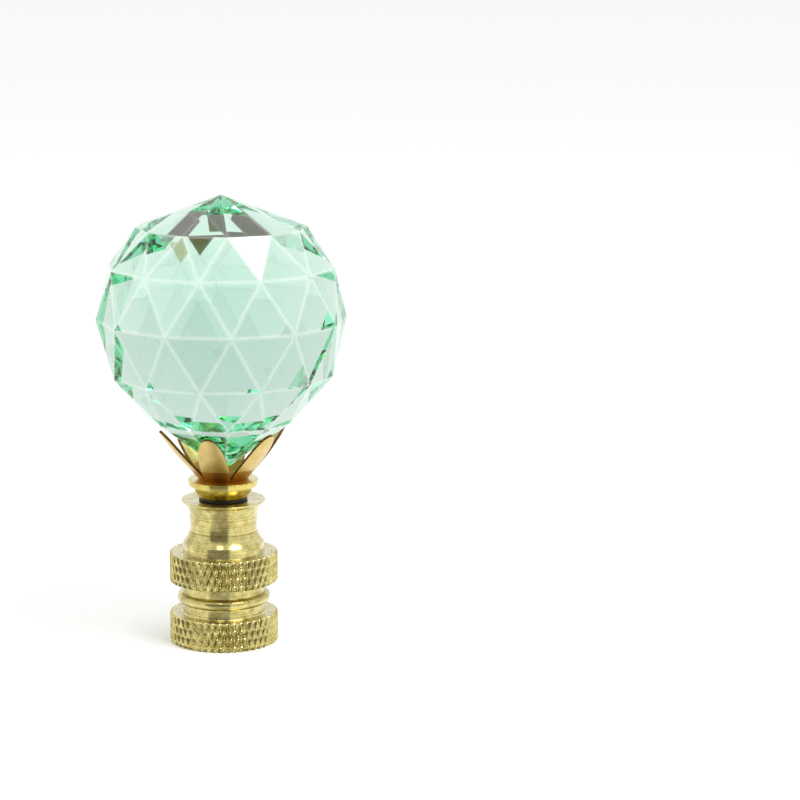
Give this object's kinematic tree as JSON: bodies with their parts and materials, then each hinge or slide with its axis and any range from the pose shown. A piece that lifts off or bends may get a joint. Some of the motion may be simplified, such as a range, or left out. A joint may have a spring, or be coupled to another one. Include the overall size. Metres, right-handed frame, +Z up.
{
  "type": "lamp shade finial",
  "caption": "Faceted clear glass ball in a stamped brass petal cup, on a turned brass base with knurled bands and a blind hole for a lamp harp's stud.",
  "frame": {"origin": "centre of the base's underside, on the axis, which is the bottom centre of the bounding box", "axes": "+Z up along the axis from the base to the ball's crown, +X to the right and -Y towards the front as pictured"},
  "size_m": [0.03, 0.03, 0.0544],
  "materials": {
    "glass": "clear, pale green, polished facets",
    "stamped_brass": "stamped sheet, satin",
    "polished_brass": "polished",
    "black_rubber": "smooth black",
    "turned_brass": "turned, bright, with knurled bands"
  },
  "bodies": {
    "root": {"glass_ball": "glass", "petal_cup": "stamped_brass", "collar": "polished_brass", "washer": "black_rubber", "base": "turned_brass"}
  },
  "joints": []
}
